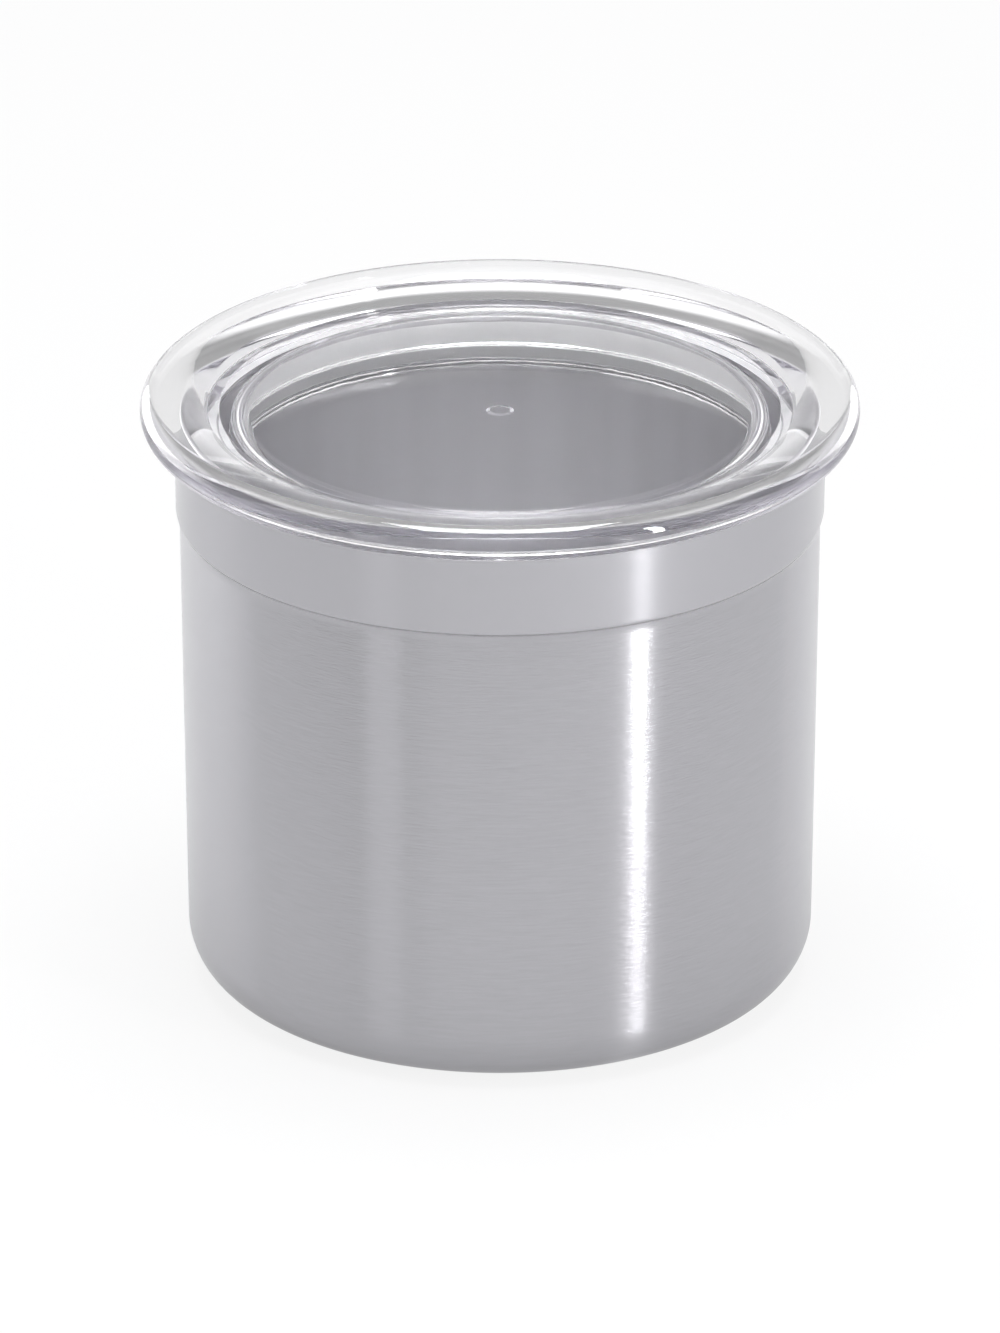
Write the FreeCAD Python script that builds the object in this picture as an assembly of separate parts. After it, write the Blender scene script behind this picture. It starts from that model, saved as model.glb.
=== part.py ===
"""A round steel food canister with a clear push-in lid and the silicone ring that seals it.

Every piece is turned about the Z axis, so each is drawn as a half section in the XZ plane, with
the distance from the axis along X. The canister stands on z = 0. Millimetres and degrees.
"""
import math
import os

import FreeCAD
import Part

# Driving dimensions of the steel cup
SHEET = 0.6
CUP_HEIGHT = 97.8
FOOT_RADIUS = 52.7
WALL_RADIUS = 53.6
BASE_CORNER = 9.0
SHOULDER_TOP = 83.9
SHOULDER_STEP = 0.6
SHOULDER_CONVEX = 1.2
SHOULDER_HOLLOW = 3.6
COLLAR_FLARE = 0.15
PANEL_RADIUS = 34.0
PANEL_LIFT = 0.8
PANEL_SLOPE = 2.5
RIM_ROUND = 0.27

# Driving dimensions of the clear lid
LID_RADIUS = 60.0
LID_TOP = 104.2
FLANGE_THICKNESS = 6.1
DISC_TOP = 101.2
DISC_THICKNESS = 2.5
DISC_RADIUS = 46.8
CROWN_EDGE_RADIUS = 49.25
CROWN_EDGE_DROP = 2.0
PLUG_INNER = 44.9
PLUG_THICKNESS = 4.9
PLUG_BOTTOM = 87.8
PLUG_FILLET = 3.2
PLUG_EDGE = 0.6
GATE_RADIUS = 2.3
GATE_SLOPE = 0.6
GATE_DEPTH = 0.5

# Driving dimensions of the silicone ring
GROOVE_BOTTOM = 88.6
GROOVE_HEIGHT = 2.5
GROOVE_DEPTH = 1.8
RING_PLAY = 0.1
RING_PROUD = 0.8
FIN_COUNT = 2
FIN_ROOT = 1.0
FIN_TIP = 0.5
FIN_RISE = 4.4
FIN_PLAY = 0.15

# Radii and heights that follow from them
COLLAR_RADIUS = WALL_RADIUS + SHOULDER_STEP
RIM_RADIUS = COLLAR_RADIUS + COLLAR_FLARE
FLANGE_BOTTOM = LID_TOP - FLANGE_THICKNESS
FLANGE_ROUND = FLANGE_THICKNESS / 2
DISC_BOTTOM = DISC_TOP - DISC_THICKNESS
PLUG_OUTER = PLUG_INNER + PLUG_THICKNESS
GROOVE_RADIUS = PLUG_OUTER - GROOVE_DEPTH
COLLAR_BORE = COLLAR_RADIUS - SHEET

# Two lengths closer than this are the same
TOLERANCE = 0.001


def point(radius, height):
    """A point of a half section."""
    return FreeCAD.Vector(radius, 0, height)


def line(start, end):
    """A straight edge of a half section."""
    return Part.makeLine(point(*start), point(*end))


def arc(centre, radius, start_angle, end_angle):
    """An arc of a half section. Angles are measured from +X towards +Z."""
    places = []
    for angle in (start_angle, (start_angle + end_angle) / 2, end_angle):
        turn = math.radians(angle)
        places.append(point(centre[0] + radius * math.cos(turn), centre[1] + radius * math.sin(turn)))
    return Part.Arc(*places).toShape()


def polyline(places):
    """Straight edges through the places, in order."""
    return [line(start, end) for start, end in zip(places, places[1:])]


def turned(edges):
    """The solid that a closed half section sweeps about the Z axis."""
    face = Part.Face(Part.Wire(edges))
    return face.revolve(FreeCAD.Vector(0, 0, 0), FreeCAD.Vector(0, 0, 1), 360)


def circle_edges(solid, radius, height):
    """The round edges of a solid at one radius and height."""
    found = []
    for edge in solid.Edges:
        if not isinstance(edge.Curve, Part.Circle):
            continue
        same_radius = abs(edge.Curve.Radius - radius) < TOLERANCE
        same_height = abs(edge.Curve.Center.z - height) < TOLERANCE
        if same_radius and same_height:
            found.append(edge)
    return found


def cup_section(inset, top):
    """Edges of the cup's filled half section, with its skin moved inwards by an inset."""
    convex = SHOULDER_CONVEX - inset
    hollow = SHOULDER_HOLLOW + inset
    corner = BASE_CORNER - inset
    turn = math.degrees(math.acos(1 - SHOULDER_STEP / (SHOULDER_CONVEX + SHOULDER_HOLLOW)))
    lean = math.sin(math.radians(turn))
    hollow_height = SHOULDER_TOP - (SHOULDER_CONVEX + SHOULDER_HOLLOW) * lean
    convex_centre = (COLLAR_RADIUS - SHOULDER_CONVEX, SHOULDER_TOP)
    hollow_centre = (WALL_RADIUS + SHOULDER_HOLLOW, hollow_height)
    corner_centre = (FOOT_RADIUS - BASE_CORNER, BASE_CORNER)
    panel_height = PANEL_LIFT + inset
    floor = [
        (0, panel_height),
        (PANEL_RADIUS, panel_height),
        (PANEL_RADIUS + PANEL_SLOPE, inset),
        (corner_centre[0], inset),
    ]
    wall = [(FOOT_RADIUS - inset, BASE_CORNER), (WALL_RADIUS - inset, hollow_height)]
    mouth = [(COLLAR_RADIUS - inset, SHOULDER_TOP), (RIM_RADIUS - inset, top), (0, top), (0, panel_height)]
    edges = polyline(floor)
    edges.append(arc(corner_centre, corner, -90, 0))
    edges += polyline(wall)
    edges.append(arc(hollow_centre, hollow, 180, 180 - turn))
    edges.append(arc(convex_centre, convex, -turn, 0))
    edges += polyline(mouth)
    return edges


def make_canister_body():
    """The drawn steel cup: one sheet with a raised base panel, a shoulder and a rounded rim."""
    outside = turned(cup_section(0, CUP_HEIGHT))
    inside = turned(cup_section(SHEET, CUP_HEIGHT))
    cup = outside.cut(inside)
    rim = circle_edges(cup, RIM_RADIUS, CUP_HEIGHT) + circle_edges(cup, RIM_RADIUS - SHEET, CUP_HEIGHT)
    return cup.makeFillet(RIM_ROUND, rim)


def make_lid():
    """The clear lid: half-round flange, crowned rim, dished middle, plug wall and seal groove."""
    bullnose_centre = (LID_RADIUS - FLANGE_ROUND, FLANGE_BOTTOM + FLANGE_ROUND)
    crown_run = bullnose_centre[0] - CROWN_EDGE_RADIUS
    crown_radius = (crown_run ** 2 + CROWN_EDGE_DROP ** 2) / (2 * CROWN_EDGE_DROP)
    crown_turn = math.degrees(math.asin(crown_run / crown_radius))
    crown_centre = (bullnose_centre[0], LID_TOP - crown_radius)
    top = [(0, DISC_BOTTOM), (0, DISC_TOP), (DISC_RADIUS, DISC_TOP),
           (CROWN_EDGE_RADIUS, LID_TOP - CROWN_EDGE_DROP)]
    under = [
        (bullnose_centre[0], FLANGE_BOTTOM),
        (PLUG_OUTER, FLANGE_BOTTOM),
        (PLUG_OUTER, GROOVE_BOTTOM + GROOVE_HEIGHT),
        (GROOVE_RADIUS, GROOVE_BOTTOM + GROOVE_HEIGHT),
        (GROOVE_RADIUS, GROOVE_BOTTOM),
        (PLUG_OUTER, GROOVE_BOTTOM),
        (PLUG_OUTER, PLUG_BOTTOM),
        (PLUG_INNER, PLUG_BOTTOM),
        (PLUG_INNER, DISC_BOTTOM - PLUG_FILLET),
    ]
    fillet_centre = (PLUG_INNER - PLUG_FILLET, DISC_BOTTOM - PLUG_FILLET)
    edges = polyline(top)
    edges.append(arc(crown_centre, crown_radius, 90 + crown_turn, 90))
    edges.append(arc(bullnose_centre, FLANGE_ROUND, 90, -90))
    edges += polyline(under)
    edges.append(arc(fillet_centre, PLUG_FILLET, 0, 90))
    edges.append(line((fillet_centre[0], DISC_BOTTOM), (0, DISC_BOTTOM)))
    lid = turned(edges)
    ends = circle_edges(lid, PLUG_OUTER, PLUG_BOTTOM) + circle_edges(lid, PLUG_INNER, PLUG_BOTTOM)
    lid = lid.makeFillet(PLUG_EDGE, ends)
    gate = Part.makeCone(GATE_RADIUS, GATE_RADIUS - GATE_SLOPE, GATE_DEPTH, point(0, DISC_BOTTOM))
    return lid.cut(gate)


def make_sealing_ring():
    """The silicone ring: a band in the plug's groove, with fins that rise towards the collar."""
    inner = GROOVE_RADIUS + RING_PLAY
    bottom = GROOVE_BOTTOM + RING_PLAY
    height = GROOVE_HEIGHT - 2 * RING_PLAY
    outer = PLUG_OUTER + RING_PROUD
    band = turned(polyline([(inner, bottom), (outer, bottom), (outer, bottom + height),
                            (inner, bottom + height), (inner, bottom)]))
    tip = COLLAR_BORE - FIN_PLAY
    pitch = (height - FIN_ROOT) / (FIN_COUNT - 1)
    root = (inner + outer) / 2
    for index in range(FIN_COUNT):
        base = bottom + index * pitch
        fin = turned(polyline([(root, base), (outer, base), (tip, base + FIN_RISE),
                               (tip, base + FIN_RISE + FIN_TIP), (outer, base + FIN_ROOT),
                               (root, base + FIN_ROOT), (root, base)]))
        band = band.fuse(fin)
    return band.removeSplitter()


PIECES = {
    "canister_body": make_canister_body,
    "lid": make_lid,
    "sealing_ring": make_sealing_ring,
}

os.makedirs("parts", exist_ok=True)
for name, make in PIECES.items():
    shape = make()
    box = shape.optimalBoundingBox()
    print(name, "valid", shape.isValid(), "solids", len(shape.Solids), "volume", round(shape.Volume, 1),
          "z", round(box.ZMin, 2), round(box.ZMax, 2), "width", round(box.XLength, 2))
    shape.exportStep(f"parts/{name}.step")
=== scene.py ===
"""Studio picture of a steel food canister with a clear push-in lid and its silicone ring.

Everything is in metres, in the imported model's frame: +Z up, the canister standing on z = 0. Each
piece is turned about Z from a half section, given in millimetres as (radius, height, rounding).
"""

import math

import bpy
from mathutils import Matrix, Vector


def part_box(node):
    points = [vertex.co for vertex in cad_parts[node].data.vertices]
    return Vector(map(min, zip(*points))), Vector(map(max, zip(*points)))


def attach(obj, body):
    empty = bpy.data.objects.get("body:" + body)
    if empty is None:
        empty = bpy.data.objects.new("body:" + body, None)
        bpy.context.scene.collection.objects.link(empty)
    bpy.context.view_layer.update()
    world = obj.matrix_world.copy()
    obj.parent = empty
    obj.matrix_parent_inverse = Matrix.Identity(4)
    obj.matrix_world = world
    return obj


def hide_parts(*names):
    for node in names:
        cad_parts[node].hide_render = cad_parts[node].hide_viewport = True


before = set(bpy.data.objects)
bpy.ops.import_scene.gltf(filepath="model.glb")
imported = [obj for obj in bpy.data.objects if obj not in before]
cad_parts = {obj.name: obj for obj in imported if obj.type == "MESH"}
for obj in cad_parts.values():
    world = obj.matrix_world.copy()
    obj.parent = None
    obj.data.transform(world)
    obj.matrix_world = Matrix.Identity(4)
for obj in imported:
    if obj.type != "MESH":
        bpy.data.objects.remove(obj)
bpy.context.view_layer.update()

MM = 0.001

# Sizes read from the frame, in millimetres
cup_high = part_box("canister_body")[1] / MM
lid_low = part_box("lid")[0] / MM
lid_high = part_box("lid")[1] / MM
ring_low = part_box("sealing_ring")[0] / MM
ring_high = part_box("sealing_ring")[1] / MM
CUP_HEIGHT = cup_high.z
RIM_RADIUS = cup_high.x
LID_RADIUS = lid_high.x
LID_TOP = lid_high.z
PLUG_BOTTOM = lid_low.z
RING_BOTTOM = ring_low.z
RING_TOP = ring_high.z
RING_REACH = ring_high.x

# The steel cup, in millimetres
SHEET = 0.6
COLLAR_FLARE = 0.15
RIM_ROUND = 0.27
SHOULDER_TOP = 83.9
SHOULDER_STEP = 0.6
SHOULDER_CONVEX = 1.2
SHOULDER_HOLLOW = 3.6
WALL_TAPER = 0.9
BASE_CORNER = 9.0
BASE_PANEL_RADIUS = 34.0
BASE_PANEL_LIFT = 0.8
BASE_PANEL_SLOPE = 2.5
BASE_PANEL_ROUND = 1.5
COLLAR_RADIUS = RIM_RADIUS - COLLAR_FLARE
WALL_RADIUS = COLLAR_RADIUS - SHOULDER_STEP
FOOT_RADIUS = WALL_RADIUS - WALL_TAPER

# The clear lid, in millimetres
FLANGE_THICKNESS = 6.1
DISH_DEPTH = 3.0
DISC_THICKNESS = 2.5
DISC_RADIUS = 46.8
DISC_ROUND = 0.5
CROWN_EDGE_RADIUS = 49.25
CROWN_EDGE_DROP = 2.0
CROWN_EDGE_ROUND = 0.25
PLUG_INNER = 44.9
PLUG_THICKNESS = 4.9
PLUG_FILLET = 3.2
PLUG_EDGE = 0.45
GATE_RADIUS = 2.3
GATE_SLOPE = 0.6
GATE_DEPTH = 0.5
GATE_ROUND = 0.08
DISC_TOP = LID_TOP - DISH_DEPTH
PLUG_OUTER = PLUG_INNER + PLUG_THICKNESS

# The silicone ring and its groove, in millimetres
RING_PLAY = 0.1
RING_PROUD = 0.8
RING_HEIGHT = 2.3
GROOVE_DEPTH = 1.8
GROOVE_ROUND = 0.3
FIN_ROOT = 1.0
FIN_TIP = 0.5
FIN_ROUND = 0.24
GROOVE_BOTTOM = RING_BOTTOM - RING_PLAY
GROOVE_TOP = RING_BOTTOM + RING_HEIGHT + RING_PLAY
GROOVE_RADIUS = PLUG_OUTER - GROOVE_DEPTH

# A rounding that meets the next one end to end is drawn this much smaller, so that both fit
FULL_ROUND = 0.98

# How finely the pieces are turned, and how near the axis a point of a section counts as on it
SEGMENTS = 360
ARC_STEP = math.radians(5)
AXIS_RADIUS = 1e-6

# Colours of the finishes
BRUSHED_STEEL = (0.471, 0.468, 0.49)
SATIN_STEEL = (0.495, 0.491, 0.515)
# The crease's colour is painted shade, darker than the wall's
PAINTED_SHADE_CREASE_STEEL = (0.37, 0.367, 0.385)
# The inside's colour is painted light, much lighter than the outside steel of the same sheet
PAINTED_LIGHT_INSIDE_STEEL = (0.74, 0.735, 0.76)
SILICONE = (0.84, 0.84, 0.85)
ACRYLIC_TINT = (0.9, 0.897, 0.91)

# How the clear pieces bend light, how dense the lid's tint is, and how far light spreads in the ring
ACRYLIC_IOR = 1.49
SILICONE_IOR = 1.41
ACRYLIC_DENSITY = 70
SILICONE_SPREAD = 0.6 * MM

# Noises of the finishes: patches per metre round the axis and up it, and how much finer detail
BRUSH_LINES = (400, 4500, 1)
BRUSH_SHADES = (200, 4000, 2)
BRUSH_PATCHES = (150, 2500, 2)
DRAWN_STREAKS = (200, 12, 2)
MOULD_RIPPLE = (300, 300, 1)
MOULD_HAZE = (60, 60, 2)
SILICONE_GRAIN = (900, 1500, 2)

# The part of a noise's range that most of it lies in
NOISE_LOW = 0.3
NOISE_HIGH = 0.7

# Faces of the shoulder that lean down by more than CREASE_LEAN are its crease, painted darker as
# shade, and faces of the steel that look up by more than INSIDE_LEAN belong to the inside, painted
# lighter as light
CREASE_LEAN = 0.42
INSIDE_LEAN = 0.5

# Turns the shine of the steel across its lines, as a share of a whole turn
ACROSS_LINES = 0.25

# Floors: name, colour, own light, and whether it is the one that the steel and the lid mirror,
# which keeps more of the canister's shadow and lies just under the other
FLOORS = (
    ("floor", (0.07, 0.07, 0.071), 0.86, False),
    ("mirrored_floor", (0.42, 0.42, 0.424), 0.18, True),
)
FLOOR_SIZE = 40
FLOOR_DROP = 0.2 * MM

# The light of the sky, as (height of the direction, level)
SKY = ((0.1, 0.85), (0.28, 0.4), (0.6, 0.4), (0.72, 1.3))

# Cards that the steel mirrors, too low for the lid to mirror them from above, and panels further out
# that show only through the lid: name, first and last azimuth from the front in degrees, and level at
# each end
CARD_DISTANCE = 0.6
CARD_HEIGHT = 0.26
PANEL_DISTANCE = 0.75
PANEL_HEIGHT = 0.8
CARDS = (
    ("front_card", -20, 44, 0.75, 0.75),
    ("front_left_card", -33, -20, 0.2, 0.75),
    ("left_gap_card", -45, -33, 1.35, 1.35),
    ("left_card", -90, -45, 0.8, 0),
    ("left_side_card", -112, -90, 4.4, 0.9),
    ("left_rear_card", -133, -112, 5.3, 4.4),
    ("left_back_card", -155, -133, 2.9, 5.3),
    ("right_card", 46, 112, 0, 1.1),
    ("right_rear_card", 112, 133, 1.8, 4.1),
    ("right_back_card", 133, 155, 4.1, 2.9),
)
PANELS = (
    ("left_panel", -133, -112, 2.0, 1.4),
    ("left_back_panel", -155, -133, 0.8, 2.0),
    ("right_panel", 112, 133, 1.4, 2.0),
    ("right_back_panel", 133, 155, 2.0, 0.8),
    ("left_side_panel", -112, -45, 2.2, 2.2),
    ("right_side_panel", 45, 112, 2.2, 2.2),
)

# Lights: name, place, target, width and height in metres, and watts
LIGHTS = (
    ("strip", (0.41, -0.379, 0.2), (0, 0, 0.08), 0.038, 0.36, 1.6),
    ("softbox", (0, -0.03, 1.0), (0, -0.03, 0.1), 0.5, 0.5, 12),
)

# The camera, worked out from the outlines in the photograph
CAMERA_DISTANCE = 2.005
CAMERA_ELEVATION = math.radians(24.04)
CAMERA_TARGET = Vector((0, 0, 0.05366))
CAMERA_LENS = 321.9
SENSOR = 36.0

# Light passes through the thick clear lid many times before it leaves
BOUNCES = 64


def left_of(direction):
    """The unit vector a quarter turn to the left of a direction in the section plane."""
    return Vector((-direction.y, direction.x)).normalized()


def turned_by(vector, angle):
    """A section vector turned by an angle."""
    cosine = math.cos(angle)
    sine = math.sin(angle)
    return Vector((vector.x * cosine - vector.y * sine, vector.x * sine + vector.y * cosine))


def corner_arc(before, corner, after, rounding):
    """Points and normals of the arc that rounds a corner of a section."""
    inward = (corner - before).normalized()
    outward = (after - corner).normalized()
    turn = math.atan2(inward.x * outward.y - inward.y * outward.x, inward.dot(outward))
    reach = rounding * math.tan(abs(turn) / 2)
    start = corner - inward * reach
    normal = left_of(inward)
    side = math.copysign(1, turn)
    centre = start + normal * rounding * side
    steps = max(2, math.ceil(abs(turn) / ARC_STEP))
    arc = []
    for step in range(steps + 1):
        angle = turn * step / steps
        arc.append((centre + turned_by(start - centre, angle), turned_by(normal, angle)))
    return arc


def section_spans(corners, closed):
    """Spans of a section, each with a start, its normal, an end and its normal.

    The solid lies to the right of the way the corners run.
    """
    places = [Vector(corner[:2]) for corner in corners]
    count = len(corners)
    arcs = []
    for index, corner in enumerate(corners):
        at_end = not closed and index in (0, count - 1)
        if at_end or corner[2] == 0:
            arcs.append([(places[index], None)])
        else:
            after = places[(index + 1) % count]
            arcs.append(corner_arc(places[index - 1], places[index], after, corner[2]))
    spans = []
    for index, arc in enumerate(arcs):
        for (start, start_normal), (end, end_normal) in zip(arc, arc[1:]):
            spans.append((start, start_normal, end, end_normal))
        if closed or index < count - 1:
            start = arc[-1][0]
            end = arcs[(index + 1) % count][0][0]
            normal = left_of(end - start)
            spans.append((start, normal, end, normal))
    return spans


def turned_points(places, directions):
    """Points turned about Z, and each one's ring: its first point and whether it is on the axis."""
    vertices = []
    rings = []
    for place in places:
        on_axis = place.x < AXIS_RADIUS
        rings.append((len(vertices), on_axis))
        for cosine, sine in directions[:1] if on_axis else directions:
            vertices.append((place.x * cosine * MM, place.x * sine * MM, place.y * MM))
    return vertices, rings


def turned_faces(spans, rings, directions):
    """Faces between the rings at both ends of each span, and the normals at their corners."""
    faces = []
    normals = []
    for index, (_, start_normal, _, end_normal) in enumerate(spans):
        first, first_on_axis = rings[index]
        second, second_on_axis = rings[(index + 1) % len(rings)]
        for step in range(SEGMENTS):
            after = (step + 1) % SEGMENTS
            loops = [(first if first_on_axis else first + step, start_normal, step)]
            if second_on_axis:
                loops.append((second, end_normal, step))
            else:
                loops.append((second + step, end_normal, step))
                loops.append((second + after, end_normal, after))
            if not first_on_axis:
                loops.append((first + after, start_normal, after))
            faces.append([vertex for vertex, _, _ in loops])
            for _, normal, place in loops:
                cosine, sine = directions[place]
                normals.append((normal.x * cosine, normal.x * sine, normal.y))
    return faces, normals


def turn_section(name, corners, closed=False):
    """A mesh object turned about Z from a section, with the exact normals of the turned surface."""
    spans = section_spans(corners, closed)
    directions = [
        (math.cos(math.tau * step / SEGMENTS), math.sin(math.tau * step / SEGMENTS))
        for step in range(SEGMENTS)
    ]
    places = [span[0] for span in spans]
    if not closed:
        places.append(spans[-1][2])
    vertices, rings = turned_points(places, directions)
    faces, normals = turned_faces(spans, rings, directions)
    mesh = bpy.data.meshes.new(name)
    mesh.from_pydata(vertices, [], faces)
    mesh.shade_smooth()
    mesh.normals_split_custom_set(normals)
    mesh.validate()
    piece = bpy.data.objects.new(name, mesh)
    bpy.context.scene.collection.objects.link(piece)
    return piece


def skin(inset):
    """Corners of the cup's skin from the base panel up to the rim, moved inwards by an inset."""
    turn = math.acos(1 - SHOULDER_STEP / (SHOULDER_CONVEX + SHOULDER_HOLLOW))
    half = math.tan(turn / 2)
    hollow_height = SHOULDER_TOP - (SHOULDER_CONVEX + SHOULDER_HOLLOW) * math.sin(turn)
    hollow = (SHOULDER_HOLLOW + inset) * FULL_ROUND
    convex = (SHOULDER_CONVEX - inset) * FULL_ROUND
    return [
        (0, BASE_PANEL_LIFT + inset, 0),
        (BASE_PANEL_RADIUS, BASE_PANEL_LIFT + inset, BASE_PANEL_ROUND),
        (BASE_PANEL_RADIUS + BASE_PANEL_SLOPE, inset, BASE_PANEL_ROUND),
        (FOOT_RADIUS - inset, inset, BASE_CORNER - inset),
        (WALL_RADIUS - inset, hollow_height + SHOULDER_HOLLOW * half, hollow),
        (COLLAR_RADIUS - inset, SHOULDER_TOP - SHOULDER_CONVEX * half, convex),
        (RIM_RADIUS - inset, CUP_HEIGHT, RIM_ROUND),
    ]


def make_cup():
    """The drawn steel cup, one sheet thick."""
    return turn_section("steel_cup", skin(SHEET) + skin(0)[::-1])


def make_lid():
    """The clear lid, with its crowned flange, dished middle, plug wall and seal groove."""
    flange_round = FLANGE_THICKNESS / 2
    flange_bottom = LID_TOP - FLANGE_THICKNESS
    crown_run = LID_RADIUS - flange_round - CROWN_EDGE_RADIUS
    crown_radius = (crown_run ** 2 + CROWN_EDGE_DROP ** 2) / (2 * CROWN_EDGE_DROP)
    crown_reach = crown_radius * math.tan(math.asin(crown_run / crown_radius) / 2)
    crown_corner = LID_RADIUS - flange_round - crown_reach
    disc_bottom = DISC_TOP - DISC_THICKNESS
    corners = [
        (0, DISC_TOP, 0),
        (DISC_RADIUS, DISC_TOP, DISC_ROUND),
        (CROWN_EDGE_RADIUS, LID_TOP - CROWN_EDGE_DROP, CROWN_EDGE_ROUND),
        (crown_corner, LID_TOP, crown_radius * FULL_ROUND),
        (LID_RADIUS, LID_TOP, flange_round * FULL_ROUND),
        (LID_RADIUS, flange_bottom, flange_round * FULL_ROUND),
        (PLUG_OUTER, flange_bottom, GROOVE_ROUND),
        (PLUG_OUTER, GROOVE_TOP, GROOVE_ROUND),
        (GROOVE_RADIUS, GROOVE_TOP, GROOVE_ROUND),
        (GROOVE_RADIUS, GROOVE_BOTTOM, GROOVE_ROUND),
        (PLUG_OUTER, GROOVE_BOTTOM, GROOVE_ROUND),
        (PLUG_OUTER, PLUG_BOTTOM, PLUG_EDGE),
        (PLUG_INNER, PLUG_BOTTOM, PLUG_EDGE),
        (PLUG_INNER, disc_bottom, PLUG_FILLET),
        (GATE_RADIUS, disc_bottom, GATE_ROUND),
        (GATE_RADIUS - GATE_SLOPE, disc_bottom + GATE_DEPTH, GATE_ROUND),
        (0, disc_bottom + GATE_DEPTH, 0),
    ]
    return turn_section("clear_lid", corners)


def make_ring():
    """The silicone ring: a band in the lid's groove, with two fins that rise towards the collar."""
    inner = GROOVE_RADIUS + RING_PLAY
    outer = PLUG_OUTER + RING_PROUD
    top = RING_BOTTOM + RING_HEIGHT
    upper = top - FIN_ROOT
    rise = RING_TOP - FIN_TIP - upper
    corners = [
        (inner, RING_BOTTOM, FIN_ROUND),
        (inner, top, FIN_ROUND),
        (outer, top, FIN_ROUND),
        (RING_REACH, upper + rise + FIN_TIP, FIN_ROUND),
        (RING_REACH, upper + rise, FIN_ROUND),
        (outer, upper, FIN_ROUND),
        (outer, RING_BOTTOM + FIN_ROOT, FIN_ROUND),
        (RING_REACH, RING_BOTTOM + rise + FIN_TIP, FIN_ROUND),
        (RING_REACH, RING_BOTTOM + rise, FIN_ROUND),
        (outer, RING_BOTTOM, FIN_ROUND),
    ]
    return turn_section("silicone_ring", corners, closed=True)


def new_material(name):
    """A new material, its node tree and its main shader."""
    material = bpy.data.materials.new(name)
    material.use_nodes = True
    return material, material.node_tree, material.node_tree.nodes["Principled BSDF"]


def noise(tree, pattern):
    """The output of a noise over a piece, stretched after a pattern."""
    around, upwards, detail = pattern
    place = tree.nodes.new("ShaderNodeTexCoord")
    stretch = tree.nodes.new("ShaderNodeVectorMath")
    stretch.operation = "MULTIPLY"
    stretch.inputs[1].default_value = (around, around, upwards)
    texture = tree.nodes.new("ShaderNodeTexNoise")
    texture.inputs["Scale"].default_value = 1
    texture.inputs["Detail"].default_value = detail
    tree.links.new(place.outputs["Object"], stretch.inputs[0])
    tree.links.new(stretch.outputs["Vector"], texture.inputs["Vector"])
    return texture.outputs["Fac"]


def vary_colour(shader, pattern, colour, change):
    """Gives a shader shades of one colour, darker and lighter by a share of it, after a noise."""
    tree = shader.id_data
    shades = tree.nodes.new("ShaderNodeValToRGB")
    dark, light = shades.color_ramp.elements
    dark.position = NOISE_LOW
    dark.color = (*[level * (1 - change) for level in colour], 1)
    light.position = NOISE_HIGH
    light.color = (*[level * (1 + change) for level in colour], 1)
    tree.links.new(noise(tree, pattern), shades.inputs["Fac"])
    tree.links.new(shades.outputs["Color"], shader.inputs["Base Color"])


def vary_roughness(shader, pattern, low, high):
    """Gives a shader a roughness between two levels, after a noise."""
    tree = shader.id_data
    spread = tree.nodes.new("ShaderNodeMapRange")
    spread.inputs["From Min"].default_value = NOISE_LOW
    spread.inputs["From Max"].default_value = NOISE_HIGH
    spread.inputs["To Min"].default_value = low
    spread.inputs["To Max"].default_value = high
    tree.links.new(noise(tree, pattern), spread.inputs["Value"])
    tree.links.new(spread.outputs["Result"], shader.inputs["Roughness"])


def add_relief(shader, pattern, height):
    """Raises a surface by a height in metres, after a noise."""
    tree = shader.id_data
    relief = tree.nodes.new("ShaderNodeBump")
    relief.inputs["Distance"].default_value = height
    tree.links.new(noise(tree, pattern), relief.inputs["Height"])
    tree.links.new(relief.outputs["Normal"], shader.inputs["Normal"])


def steel(name, anisotropy):
    """Steel whose fine lines run round the axis, so that light spreads up and down."""
    material, tree, shader = new_material(name)
    shader.inputs["Metallic"].default_value = 1
    shader.inputs["Anisotropic"].default_value = anisotropy
    shader.inputs["Anisotropic Rotation"].default_value = ACROSS_LINES
    tangent = tree.nodes.new("ShaderNodeTangent")
    tangent.direction_type = "RADIAL"
    tangent.axis = "Z"
    tree.links.new(tangent.outputs["Tangent"], shader.inputs["Tangent"])
    return material, shader


def brushed_steel():
    """The wall: short fine brush lines that fray the edges of what it mirrors."""
    material, shader = steel("brushed_steel", anisotropy=1.0)
    vary_colour(shader, BRUSH_SHADES, BRUSHED_STEEL, change=0.025)
    vary_roughness(shader, BRUSH_PATCHES, low=0.21, high=0.23)
    add_relief(shader, BRUSH_LINES, height=0.035 * MM)
    return material


def satin_steel():
    """The collar: paler and smoother than the wall, with hardly any lines."""
    material, shader = steel("satin_steel", anisotropy=0.87)
    vary_colour(shader, BRUSH_SHADES, SATIN_STEEL, change=0.005)
    vary_roughness(shader, BRUSH_PATCHES, low=0.185, high=0.205)
    add_relief(shader, BRUSH_LINES, height=0.001 * MM)
    return material


def painted_shade_crease_steel():
    """The shoulder's crease: rougher, where the brush doesn't reach, and painted darker than the wall
    as shade.
    """
    material, shader = steel("painted_shade_crease_steel", anisotropy=0.6)
    vary_colour(shader, BRUSH_SHADES, PAINTED_SHADE_CREASE_STEEL, change=0.03)
    vary_roughness(shader, BRUSH_PATCHES, low=0.32, high=0.4)
    return material


def painted_light_inside_steel():
    """The inside: drawn steel with faint streaks up the wall, painted much lighter than the outside
    as light.
    """
    material, shader = steel("painted_light_inside_steel", anisotropy=0.6)
    vary_colour(shader, DRAWN_STREAKS, PAINTED_LIGHT_INSIDE_STEEL, change=0.03)
    vary_roughness(shader, BRUSH_PATCHES, low=0.46, high=0.54)
    return material


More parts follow.
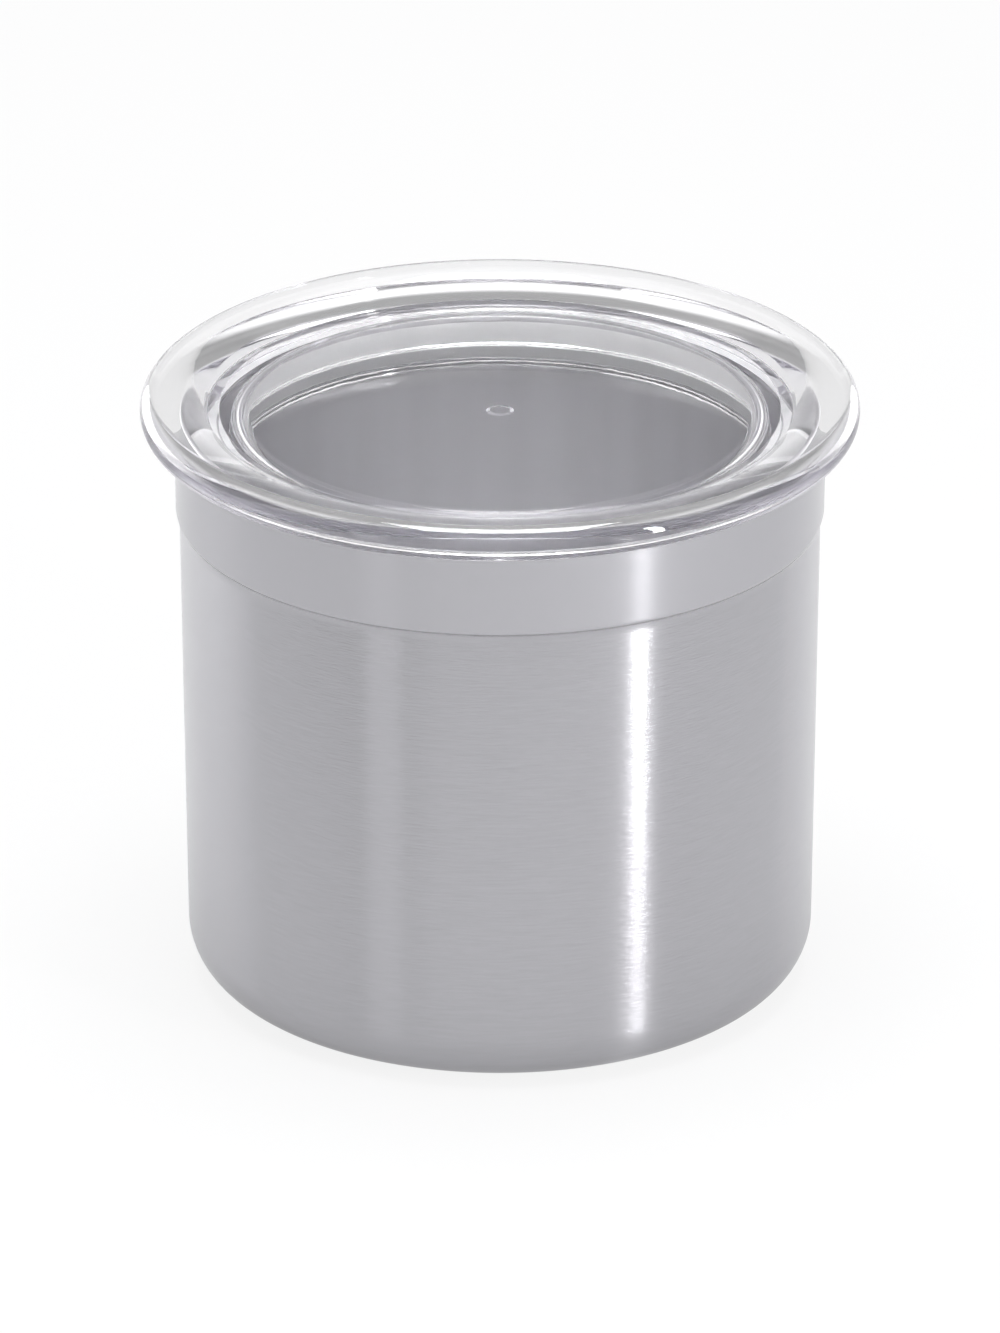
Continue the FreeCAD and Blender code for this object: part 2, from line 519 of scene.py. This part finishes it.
def clear_acrylic():
    """Clear moulded plastic: a little grey where it is thick, with a faint ripple and haze."""
    material, tree, shader = new_material("clear_acrylic")
    shader.inputs["Base Color"].default_value = (1, 1, 1, 1)
    shader.inputs["IOR"].default_value = ACRYLIC_IOR
    shader.inputs["Transmission Weight"].default_value = 1
    vary_roughness(shader, MOULD_HAZE, low=0, high=0.02)
    add_relief(shader, MOULD_RIPPLE, height=0.004 * MM)
    tint = tree.nodes.new("ShaderNodeVolumeAbsorption")
    tint.inputs["Color"].default_value = (*ACRYLIC_TINT, 1)
    tint.inputs["Density"].default_value = ACRYLIC_DENSITY
    tree.links.new(tint.outputs["Volume"], tree.nodes["Material Output"].inputs["Volume"])
    return material


def clear_silicone():
    """Milky translucent silicone with a matte skin."""
    material, _, shader = new_material("clear_silicone")
    shader.inputs["IOR"].default_value = SILICONE_IOR
    shader.inputs["Subsurface Weight"].default_value = 1
    shader.inputs["Subsurface Radius"].default_value = (1, 1, 1)
    shader.inputs["Subsurface Scale"].default_value = SILICONE_SPREAD
    vary_colour(shader, SILICONE_GRAIN, SILICONE, change=0.02)
    vary_roughness(shader, SILICONE_GRAIN, low=0.35, high=0.5)
    add_relief(shader, SILICONE_GRAIN, height=0.01 * MM)
    return material


def finish_cup(cup):
    """Brushed wall, satin collar, rough crease painted darker as shade, and drawn inside painted
    lighter as light.
    """
    finishes = (brushed_steel(), satin_steel(), painted_shade_crease_steel(), painted_light_inside_steel())
    for material in finishes:
        cup.data.materials.append(material)
    wall, collar, crease, inside = range(len(finishes))
    for face in cup.data.polygons:
        outwards = face.normal.x * face.center.x + face.normal.y * face.center.y
        above_corner = face.center.z > BASE_CORNER * MM
        # the inside's faces take the steel painted lighter as light
        if outwards < 0 or face.normal.z > INSIDE_LEAN:
            face.material_index = inside
        # the crease's faces take the steel painted darker as shade
        elif above_corner and face.normal.z < -CREASE_LEAN:
            face.material_index = crease
        elif face.center.z > (SHOULDER_TOP - SHOULDER_STEP) * MM:
            face.material_index = collar
        else:
            face.material_index = wall


def dress(piece, body, node):
    """Puts a piece on its body, in place of its node, which it hides."""
    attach(piece, body)
    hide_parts(node)


def make_floor(name, colour, glow, mirrored):
    """A plain white floor that keeps the canister's shadow."""
    bpy.ops.mesh.primitive_plane_add(size=FLOOR_SIZE)
    floor = bpy.context.object
    floor.name = name
    floor.location.z = -FLOOR_DROP if mirrored else 0
    material, _, shader = new_material(name)
    shader.inputs["Base Color"].default_value = (*colour, 1)
    shader.inputs["Roughness"].default_value = 1
    shader.inputs["Specular IOR Level"].default_value = 0
    shader.inputs["Emission Color"].default_value = (1, 1, 1, 1)
    shader.inputs["Emission Strength"].default_value = glow
    floor.data.materials.append(material)
    floor.visible_camera = not mirrored
    floor.visible_diffuse = not mirrored
    floor.visible_transmission = not mirrored
    floor.visible_glossy = mirrored
    floor.visible_shadow = False


def make_world():
    """A sky that is pale at the horizon and overhead, with a grey belt between."""
    world = bpy.data.worlds.new("studio")
    bpy.context.scene.world = world
    world.use_nodes = True
    tree = world.node_tree
    place = tree.nodes.new("ShaderNodeTexCoord")
    split = tree.nodes.new("ShaderNodeSeparateXYZ")
    sky = tree.nodes.new("ShaderNodeValToRGB")
    sky.color_ramp.interpolation = "EASE"
    elements = sky.color_ramp.elements
    for index, (height, level) in enumerate(SKY):
        element = elements[index] if index < len(elements) else elements.new(height)
        element.position = height
        element.color = (level, level, level, 1)
    tree.links.new(place.outputs["Generated"], split.inputs["Vector"])
    tree.links.new(split.outputs["Z"], sky.inputs["Fac"])
    tree.links.new(sky.outputs["Color"], tree.nodes["Background"].inputs["Color"])
    tree.nodes["Background"].inputs["Strength"].default_value = 1


def add_card(name, first, last, first_level, last_level, panel):
    """A glowing card or panel out of the picture, across a range of azimuths."""
    distance = PANEL_DISTANCE if panel else CARD_DISTANCE
    height = PANEL_HEIGHT if panel else CARD_HEIGHT
    bpy.ops.mesh.primitive_plane_add(size=1)
    card = bpy.context.object
    card.name = name
    middle = math.radians(first + last) / 2
    half = math.radians(last - first) / 2
    facing = Vector((math.sin(middle), -math.cos(middle), 0))
    card.scale = (2 * distance * math.tan(half), height, 1)
    card.location = facing * distance + Vector((0, 0, height / 2))
    card.rotation_euler = (-facing).to_track_quat("Z", "Y").to_euler()
    material, tree, shader = new_material(name)
    shader.inputs["Base Color"].default_value = (0, 0, 0, 1)
    shader.inputs["Specular IOR Level"].default_value = 0
    shader.inputs["Emission Color"].default_value = (1, 1, 1, 1)
    place = tree.nodes.new("ShaderNodeTexCoord")
    split = tree.nodes.new("ShaderNodeSeparateXYZ")
    level = tree.nodes.new("ShaderNodeMapRange")
    level.inputs["To Min"].default_value = last_level
    level.inputs["To Max"].default_value = first_level
    tree.links.new(place.outputs["Generated"], split.inputs["Vector"])
    tree.links.new(split.outputs["X"], level.inputs["Value"])
    tree.links.new(level.outputs["Result"], shader.inputs["Emission Strength"])
    card.data.materials.append(material)
    card.visible_camera = False
    card.visible_diffuse = False
    card.visible_glossy = not panel
    card.visible_transmission = panel
    card.visible_shadow = False


def add_light(name, place, target, width, height, power):
    """A rectangular soft light that faces a target."""
    light = bpy.data.lights.new(name, "AREA")
    light.shape = "RECTANGLE"
    light.size = width
    light.size_y = height
    light.energy = power
    lamp = bpy.data.objects.new(name, light)
    lamp.location = place
    lamp.rotation_euler = (Vector(target) - Vector(place)).to_track_quat("-Z", "Y").to_euler()
    lamp.visible_camera = False
    bpy.context.scene.collection.objects.link(lamp)


def make_camera():
    """The camera, on the photograph's line of sight."""
    camera = bpy.data.cameras.new("camera")
    camera.lens = CAMERA_LENS
    camera.sensor_width = SENSOR
    holder = bpy.data.objects.new("camera", camera)
    away = Vector((0, -math.cos(CAMERA_ELEVATION), math.sin(CAMERA_ELEVATION)))
    holder.location = CAMERA_TARGET + away * CAMERA_DISTANCE
    holder.rotation_euler = (-away).to_track_quat("-Z", "Y").to_euler()
    bpy.context.scene.collection.objects.link(holder)
    bpy.context.scene.camera = holder


def set_rendering():
    """Plain colours, and enough bounces for the lid."""
    scene = bpy.context.scene
    scene.view_settings.view_transform = "Standard"
    scene.cycles.max_bounces = BOUNCES
    scene.cycles.transmission_bounces = BOUNCES
    scene.cycles.glossy_bounces = BOUNCES


cup = make_cup()
finish_cup(cup)
lid = make_lid()
lid.data.materials.append(clear_acrylic())
ring = make_ring()
ring.data.materials.append(clear_silicone())
dress(cup, "canister", "canister_body")
dress(lid, "lid", "lid")
dress(ring, "seal", "sealing_ring")
for floor in FLOORS:
    make_floor(*floor)
make_world()
for card in CARDS:
    add_card(*card, panel=False)
for panel in PANELS:
    add_card(*panel, panel=True)
for light in LIGHTS:
    add_light(*light)
make_camera()
set_rendering()
